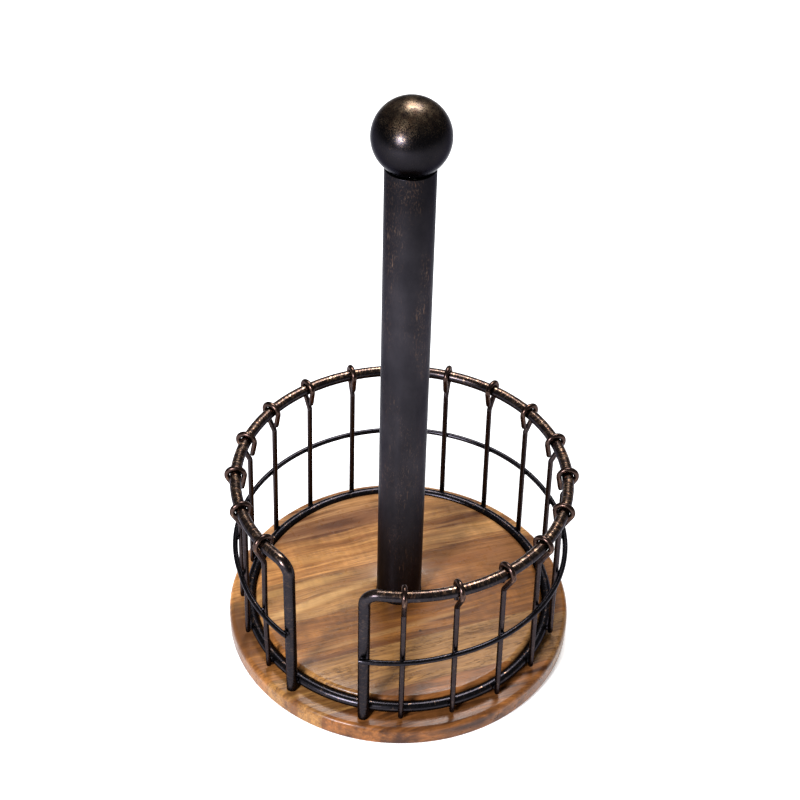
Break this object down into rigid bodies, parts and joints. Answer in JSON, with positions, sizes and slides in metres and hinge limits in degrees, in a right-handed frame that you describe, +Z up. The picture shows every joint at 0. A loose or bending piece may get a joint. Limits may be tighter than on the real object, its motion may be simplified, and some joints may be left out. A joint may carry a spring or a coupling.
{
  "type": "paper towel holder",
  "caption": "Countertop paper towel holder: round wooden base, tall metal post with ball finial, and a wire basket, open at the front, that stops the roll from unwinding.",
  "frame": {"origin": "centre of the footprint, on the surface that the feet stand on", "axes": "+Z up along the post; the basket's gap faces -Y; +X to the right of someone facing the gap"},
  "size_m": [0.195, 0.195, 0.3419],
  "materials": {
    "acacia": "semi-gloss lacquered acacia, edge-glued staves",
    "black_bronze": "near-black satin with copper-coloured rub-through",
    "zinc_steel": "zinc plated",
    "rubber": "matte black"
  },
  "bodies": {
    "stand": {"base_board": "acacia", "rubber_foot_1": "rubber", "rubber_foot_2": "rubber", "rubber_foot_3": "rubber", "rubber_foot_4": "rubber", "post_tube": "black_bronze", "tie_rod": "zinc_steel", "clamp_washer": "zinc_steel", "clamp_nut": "zinc_steel"},
    "basket": {"top_rail": "black_bronze", "mid_wire": "black_bronze", "bottom_ring": "black_bronze", "rib_01": "black_bronze", "rib_02": "black_bronze", "rib_03": "black_bronze", "rib_04": "black_bronze", "rib_05": "black_bronze", "rib_06": "black_bronze", "rib_07": "black_bronze", "rib_08": "black_bronze", "rib_09": "black_bronze", "rib_10": "black_bronze", "rib_11": "black_bronze", "rib_12": "black_bronze", "rib_13": "black_bronze", "rib_14": "black_bronze", "rib_15": "black_bronze", "rib_16": "black_bronze", "rib_17": "black_bronze", "rib_18": "black_bronze"},
    "insert": {"finial_insert": "zinc_steel"},
    "finial": {"finial_ball": "black_bronze"}
  },
  "joints": [
    {"name": "basket_lift", "type": "slide", "parent": "stand", "child": "basket", "axis": [0, 0, 1], "range_m": [0, 0.33]},
    {"name": "finial_lift", "type": "slide", "parent": "stand", "child": "insert", "axis": [0, 0, 1], "range_m": [0, 0.008]},
    {"name": "finial_turn", "type": "hinge", "parent": "insert", "child": "finial", "pos_m": [0, 0, 0.3224], "axis": [0, 0, 1], "range_deg": [0, 2880]}
  ],
  "couplings": [
    {"joint": "finial_lift", "follows": "finial_turn", "m_per_rad": 0.00015915}
  ]
}
